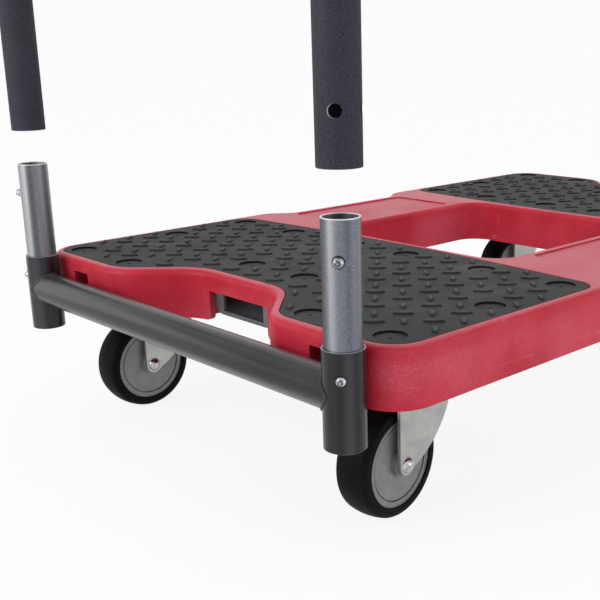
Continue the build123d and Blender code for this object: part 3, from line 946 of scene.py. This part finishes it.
@dataclass
class TreadPads:
    """The two tread pads, with rows of raised lozenges that cross each other at right angles."""

    pitch: float = 0.0323
    first_row: float = 0.170
    rows: int = 9
    columns: int = 16
    turns: tuple[float, float] = (45.0, -45.0)
    lozenge_length: float = 0.0182
    lozenge_width: float = 0.0076
    lozenge_height: float = 0.0020
    point_share: float = 0.25
    top_share: tuple[float, float] = (0.82, 0.40)
    corner_count: int = 12
    edge_round: float = 0.0004
    edge_steps: int = 2
    sunk: float = 0.0004
    level_slack: float = 0.0002
    edge_room: float = 0.0015
    probe_height: float = 0.01
    pip_radius: float = 0.0017
    pip_flatness: float = 0.5
    pip_corners: int = 14
    pip_rings: int = 8
    dimple_least_depth: float = 0.001

    def build(self) -> None:
        """Dress both pads and raise their tread."""
        material = TreadRubber(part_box(f"{End.HANDLE.value}_pad")[1].z).material()
        for end in End:
            dress(f"{end.value}_pad", material)
            mesh = bmesh.new()
            for turn in self.turns:
                self.raise_rows(mesh, end, turn)
            for middle in self.dimple_middles(end):
                self.raise_pip(mesh, middle)
            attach(new_piece(f"{end.value}_tread", mesh, material), BASE)

    def lozenge(self, mesh: Mesh) -> None:
        """Make one lozenge along X, with its foot a little below the XY plane.

        Args:
            mesh: The bmesh to add it to.
        """
        made = bmesh.ops.create_circle(mesh, cap_ends=True, segments=self.corner_count, radius=0.5)
        for vert in made["verts"]:
            vert.co.y *= self.point_share + (1 - self.point_share) * 2 * abs(vert.co.y)
        size = Vector((self.lozenge_length, self.lozenge_width, 1.0))
        bmesh.ops.scale(mesh, vec=size, verts=made["verts"])
        bmesh.ops.translate(mesh, vec=(0.0, 0.0, -self.sunk), verts=made["verts"])
        base = made["verts"][0].link_faces[0]
        raised = bmesh.ops.extrude_face_region(mesh, geom=[base], use_keep_orig=True)["geom"]
        top = [item for item in raised if isinstance(item, bmesh.types.BMVert)]
        bmesh.ops.translate(mesh, vec=(0.0, 0.0, self.sunk + self.lozenge_height), verts=top)
        bmesh.ops.scale(mesh, vec=(*self.top_share, 1.0), verts=top)
        rim = [item for item in raised if isinstance(item, bmesh.types.BMEdge)]
        bmesh.ops.bevel(mesh, geom=rim, offset=self.edge_round, affect="EDGES",
                        segments=self.edge_steps, profile=0.5, material=-1)

    def raise_rows(self, mesh: Mesh, end: End, turn: float) -> None:
        """Raise one of the two crossing sets of lozenges on a pad.

        Args:
            mesh: The bmesh to add them to.
            end: The pad's end.
            turn: Direction of the lozenges, in degrees from X.
        """
        single = bmesh.new()
        self.lozenge(single)
        shape = bpy.data.meshes.new("lozenge")
        single.to_mesh(shape)
        single.free()
        low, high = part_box("deck")
        middle = (low + high) / 2
        way = 1 if end is End.FAR else -1
        half = 0.0 if turn < 0 else 0.5
        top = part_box(f"{end.value}_pad")[1].z
        for row in range(self.rows):
            for column in range(self.columns):
                x = middle.x + way * (self.first_row + (row - half) * self.pitch)
                y = middle.y + way * (column - self.columns // 2 + half) * self.pitch
                spot = Vector((x, y, top))
                if self.lies_flat(end, spot, turn):
                    before = len(mesh.verts)
                    mesh.from_mesh(shape)
                    place = Matrix.Translation(spot) @ Matrix.Rotation(math.radians(turn), 4, "Z")
                    bmesh.ops.transform(mesh, matrix=place, verts=mesh.verts[before:])
        bpy.data.meshes.remove(shape)

    def dimple_middles(self, end: End) -> list[Vector]:
        """Find the middles of a pad's dimples.

        Args:
            end: The pad's end.

        Returns:
            The middle of each dimple's floor.
        """
        pad = f"{end.value}_pad"
        mesh = merged_copy(pad)
        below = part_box(pad)[1].z - self.dimple_least_depth
        level = [face for face in mesh.faces if face.normal.z > FACING]
        floors = {face for face in level if face.calc_center_median().z < below}
        middles = []
        while floors:
            island = [floors.pop()]
            for face in island:
                beside = {other for edge in face.edges for other in edge.link_faces} & floors
                island.extend(beside)
                floors -= beside
            corners = {vert for face in island for vert in face.verts}
            middles.append(sum((vert.co for vert in corners), Vector()) / len(corners))
        mesh.free()
        return sorted(middles, key=lambda middle: (middle.x, middle.y))

    def raise_pip(self, mesh: Mesh, middle: Vector) -> None:
        """Raise the small moulded pip in the middle of a dimple.

        Args:
            mesh: The bmesh to add it to.
            middle: Middle of the dimple's floor.
        """
        made = bmesh.ops.create_uvsphere(mesh, u_segments=self.pip_corners, v_segments=self.pip_rings,
                                         radius=self.pip_radius)
        bmesh.ops.scale(mesh, vec=(1.0, 1.0, self.pip_flatness), verts=made["verts"])
        bmesh.ops.translate(mesh, vec=middle, verts=made["verts"])

    def lies_flat(self, end: End, spot: Vector, turn: float) -> bool:
        """Whether the pad is level under a whole lozenge.

        Args:
            end: The pad's end.
            spot: Middle of the lozenge, on the pad's top.
            turn: Direction of the lozenge, in degrees from X.

        Returns:
            False over a dimple or an edge.
        """
        pad = frame["nodes"][f"{end.value}_pad"]
        along = Matrix.Rotation(math.radians(turn), 3, "Z") @ Vector((1.0, 0.0, 0.0))
        across = Vector((-along.y, along.x, 0.0))
        reach = self.lozenge_length / 2 + self.edge_room
        width = self.lozenge_width / 2 + self.edge_room
        above = Vector((0.0, 0.0, self.probe_height))
        for offset in (0 * along, reach * along, -reach * along, width * across, -width * across):
            hit, place, _, _ = pad.ray_cast(spot + offset + above, Vector((0.0, 0.0, -1.0)))
            if not hit or abs(place.z - spot.z) > self.level_slack:
                return False
        return True


@dataclass
class StrapAnchors:
    """The slotted steel anchors in the deck's ends, with their rivets."""

    def build(self) -> None:
        """Dress the anchors and rivets."""
        backs, fronts = zip(*[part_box(f"{end.value}_anchor") for end in End])
        low = min(corner.x for corner in backs)
        high = max(corner.x for corner in fronts)
        steel = AnchorSteel((low + high) / 2, (high - low) / 2).material()
        for end in End:
            dress(f"{end.value}_anchor", steel)
        dress("anchor_rivets", steel)


@dataclass
class PushBar:
    """The cross bar with its sockets, hooks and weld beads."""

    bar_paint: Material
    paint: Material
    bead_radius: float = 0.0020
    bead_sunk: float = 0.0008
    bead_corners: int = 10
    bead_steps: int = 180
    ripples: tuple[tuple[float, int, float], ...] = ((0.12, 46, 0.0), (0.09, 5, 1.3), (0.07, 13, 0.4))
    hidden_shrink: float = 0.45
    cusp_round: float = 0.10

    def build(self) -> None:
        """Dress the bar and add a bead at each socket."""
        dress("cross_bar", self.bar_paint)
        for side in Side:
            dress(f"{side.word}_socket", self.paint)
            dress(f"{side.word}_bar_hook", self.paint)
            bead = new_piece(f"{side.word}_weld_bead", self.bead(side), self.paint)
            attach(bead, BASE)

    def bead(self, side: Side) -> Mesh:
        """Run a rippled bead round the bar where it meets a socket of the same size.

        Args:
            side: The socket's side.

        Returns:
            The bead.
        """
        low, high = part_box("cross_bar")
        radius = (high.z - low.z) / 2
        axis = (low + high) / 2
        socket_low, socket_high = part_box(f"{side.word}_socket")
        post_y = (socket_low.y + socket_high.y) / 2
        mesh = bmesh.new()
        ring = bmesh.ops.create_circle(mesh, segments=self.bead_corners, radius=self.bead_radius)
        bmesh.ops.rotate(mesh, cent=(0, 0, 0), verts=ring["verts"],
                         matrix=Matrix.Rotation(math.tau / 4, 3, "Y"))
        bmesh.ops.translate(mesh, verts=ring["verts"], vec=(0, 0, radius - self.bead_sunk))
        bmesh.ops.spin(mesh, geom=mesh.edges[:], cent=(0, 0, 0), axis=(0, 1, 0), steps=self.bead_steps,
                       angle=math.tau, use_merge=True)
        for vert in mesh.verts:
            turn = math.atan2(vert.co.z, vert.co.x)
            ripple = 1 + sum(share * math.sin(count * turn + start) for share, count, start in self.ripples)
            ripple *= 1 - self.hidden_shrink * max(0.0, math.cos(turn))
            out = Vector((math.cos(turn), 0.0, math.sin(turn))) * (radius - self.bead_sunk)
            vert.co = out + (vert.co - out) * ripple
            saddle = radius * math.hypot(math.sin(turn), self.cusp_round)
            vert.co += Vector((axis.x, post_y - side.value * saddle, axis.z))
        return mesh


@dataclass
class Posts:
    """The galvanised stubs, their snap buttons and the springs inside."""

    tube: Material
    button: Material
    spring: Material
    leaf_thickness: float = 0.0009
    leaf_cuts: int = 16

    @staticmethod
    def mouths(level: Level, tube: Tube) -> Points:
        """Find where the buttons of one level come out of their tubes.

        Args:
            level: Level of the buttons.
            tube: Kind of tube that they come out of.

        Returns:
            The point on each tube's outside.
        """
        points = []
        for side in Side:
            axis, way = Posts.aim(side, level)
            low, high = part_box(f"{side.word}_{tube.value}")
            points.append(axis + way * (high.x - low.x) / 2)
        return tuple(points)

    @staticmethod
    def tips() -> Points:
        """Find the outermost point of each button.

        Returns:
            The point on each button.
        """
        points = []
        for side in Side:
            for level in Level:
                axis, way = Posts.aim(side, level)
                corners = frame["nodes"][f"{side.word}_{level.value}_button"].data.vertices
                points.append(axis + way * max((corner.co - axis).dot(way) for corner in corners))
        return tuple(points)

    @staticmethod
    def aim(side: Side, level: Level) -> tuple[Vector, Vector]:
        """Find where a button points.

        Args:
            side: The post's side.
            level: Level of the button.

        Returns:
            The middle of the post at the button's height, and the direction out of the post.
        """
        button = sum(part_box(f"{side.word}_{level.value}_button"), Vector()) / 2
        axis = sum(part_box(f"{side.word}_stub"), Vector()) / 2
        axis.z = button.z
        return axis, (button - axis).normalized()

    def build(self) -> None:
        """Dress the stubs and buttons, and put a sliced copy in place of each spring."""
        for side in Side:
            dress(f"{side.word}_stub", self.tube)
            for level in Level:
                dress(f"{side.word}_{level.value}_button", self.button)
                self.flex(side, level)

    def flex(self, side: Side, level: Level) -> None:
        """Put a copy of a spring, sliced into bands across its height, in place of the rigid spring.

        Args:
            side: The post's side.
            level: Level of the button.
        """
        name = f"{side.word}_{level.value}"
        node = f"{name}_spring"
        mesh = merged_copy(node)
        low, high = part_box(node)
        for cut in range(1, self.leaf_cuts):
            spot = low.lerp(high, cut / self.leaf_cuts)
            whole = [*mesh.verts, *mesh.edges, *mesh.faces]
            bmesh.ops.bisect_plane(mesh, geom=whole, plane_co=spot, plane_no=(0, 0, 1))
        axis, way = self.aim(side, level)
        reach = max((vert.co - axis).dot(way) for vert in mesh.verts) - self.leaf_thickness
        leaf = new_piece(f"{name}_leaf", mesh, self.spring)
        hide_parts(node)
        axis + way * reach
        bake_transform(leaf)


@dataclass
class Handle:
    """The upper handle tube."""

    paint: Material

    @staticmethod
    def holes() -> Points:
        """Find the middles of the button holes while the handle is lifted off, at the inside of its wall.

        Returns:
            The middle of each hole.
        """
        lift = next(joint for joint in frame["joints"] if joint["name"] == "handle_lift")
        up = Vector((0.0, 0.0, -min(lift["range_m"])))
        return tuple(mouth + up for mouth in Posts.mouths(Level.UPPER, Tube.STUB))

    def build(self) -> None:
        """Dress the handle."""
        dress("handle_tube", self.paint)


@dataclass
class Caster:
    """One swivel caster."""

    corner: Corner
    plate: Material
    steel: Material
    hub: Material
    tyre: Material

    def build(self) -> None:
        """Dress the caster's pieces."""
        name = self.corner.value
        for piece in ("caster_plate", "kingpin", "fork", "axle_sleeve"):
            dress(f"{name}_{piece}", self.plate)
        for piece in ("axle_bolt", "axle_nut", "race_balls"):
            dress(f"{name}_{piece}", self.steel)
        dress(f"{name}_wheel_core", self.hub)
        dress(f"{name}_tyre", self.tyre)


@dataclass
class Studio:
    """Pale floor, soft light and the camera of the photograph."""

    floor_size: float = 60.0
    white: Colour = (255, 255, 255)
    backdrop: float = 0.974
    ambient: float = 0.82
    lamp_size: float = 1.4
    lamps: tuple[tuple[str, float, Point], ...] = (
        ("left_lamp", 23.0, (-2.4, 0.6, 0.9)),
        ("right_lamp", 13.0, (0.6, -2.3, 0.25)),
    )
    camera_place: Point = (-0.84657, -0.71269, 0.37578)
    azimuth: float = -43.68
    pitch: float = 15.944
    roll: float = -0.829
    focal_pixels: float = 984.42
    frame_pixels: float = 600.0
    centre_pixel: tuple[float, float] = (370.0, 320.0)
    nearest: float = 0.01

    def build(self) -> None:
        """Set up the floor, the world, the lamps and the camera."""
        self.lay_floor()
        self.light_world()
        for name, power, place in self.lamps:
            self.hang_lamp(name, power, place)
        self.aim_camera()
        bpy.context.scene.view_settings.view_transform = "Standard"

    def lay_floor(self) -> None:
        """Lay the floor under the wheels."""
        mesh = bmesh.new()
        bmesh.ops.create_grid(mesh, x_segments=1, y_segments=1, size=self.floor_size / 2)
        data = bpy.data.meshes.new("floor")
        mesh.to_mesh(data)
        mesh.free()
        data.materials.append(PaleFloor().material())
        floor = add_object("floor", data)

    def light_world(self) -> None:
        """Light the scene evenly, with a background that looks white."""
        world = bpy.data.worlds.new("studio")
        bpy.context.scene.world = world
        graph = Graph(world)
        strength = self.ambient + (self.backdrop - self.ambient) * graph.seen_directly()
        inputs = {"Color": linear(self.white), "Strength": strength}
        graph.close(graph.node("ShaderNodeBackground", inputs=inputs))

    def hang_lamp(self, name: str, power: float, place: Point) -> None:
        """Hang one large soft lamp that faces the cart.

        Args:
            name: The lamp's name.
            power: Its power in watts.
            place: Where it hangs.
        """
        lamp = bpy.data.lights.new(name, "AREA")
        lamp.energy = power
        lamp.size = self.lamp_size
        holder = add_object(name, lamp)
        holder.location = place
        holder.rotation_mode = "QUATERNION"
        holder.rotation_quaternion = (-Vector(place)).to_track_quat("-Z", "Y")
        holder.visible_camera = False

    def aim_camera(self) -> None:
        """Put the camera where the photograph was taken from."""
        turn = math.radians(self.azimuth)
        tilt = math.radians(self.pitch)
        back = Vector((math.sin(turn) * math.cos(tilt), -math.cos(turn) * math.cos(tilt), math.sin(tilt)))
        level = (-back).cross(Vector((0.0, 0.0, 1.0))).normalized()
        upright = level.cross(-back)
        lean = math.radians(self.roll)
        right = math.cos(lean) * level + math.sin(lean) * upright
        above = math.cos(lean) * upright - math.sin(lean) * level
        lens = bpy.data.cameras.new("camera")
        lens.lens = lens.sensor_width * self.focal_pixels / self.frame_pixels
        middle = self.frame_pixels / 2
        lens.shift_x = (middle - self.centre_pixel[0]) / self.frame_pixels
        lens.shift_y = (self.centre_pixel[1] - middle) / self.frame_pixels
        lens.clip_start = self.nearest
        camera = add_object("camera", lens)
        pose = Matrix((right, above, back)).transposed().to_4x4()
        camera.matrix_world = Matrix.Translation(self.camera_place) @ pose
        bpy.context.scene.camera = camera


def main() -> None:
    """Build and dress the whole cart, then set up the studio."""
    logging.basicConfig(level=logging.INFO, format="%(name)s: %(message)s")
    zinc = ZincPlate().material()
    bright = Steel(Slot.BRIGHT_STEEL.value).material()
    dome = Steel("bright_steel_dome", tips=Posts.tips()).material()
    spring = Steel.sprung().material()
    marks = Posts.mouths(Level.LOWER, Tube.SOCKET)
    smooth = PowderCoat("charcoal_paint_smooth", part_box("left_socket")[1].z, marks).polished()
    flecked = PowderCoat("charcoal_paint_flecked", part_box("handle_tube")[0].z, rims=Handle.holes())
    tube = GalvanisedTube(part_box("left_stub")[1].z, Posts.mouths(Level.UPPER, Tube.STUB))
    hub = HubGrey().material()
    tyre = TyreRubber().material()
    Deck().build()
    TreadPads().build()
    StrapAnchors().build()
    for fasteners in ("caster_bolts", "caster_nuts"):
        dress(fasteners, zinc)
    PushBar(smooth.streaked().material(), smooth.material()).build()
    Posts(tube.material(), dome, spring).build()
    Handle(flecked.material()).build()
    for corner in Corner:
        Caster(corner, zinc, bright, hub, tyre).build()
    Studio().build()


if __name__ == "__main__":
    main()
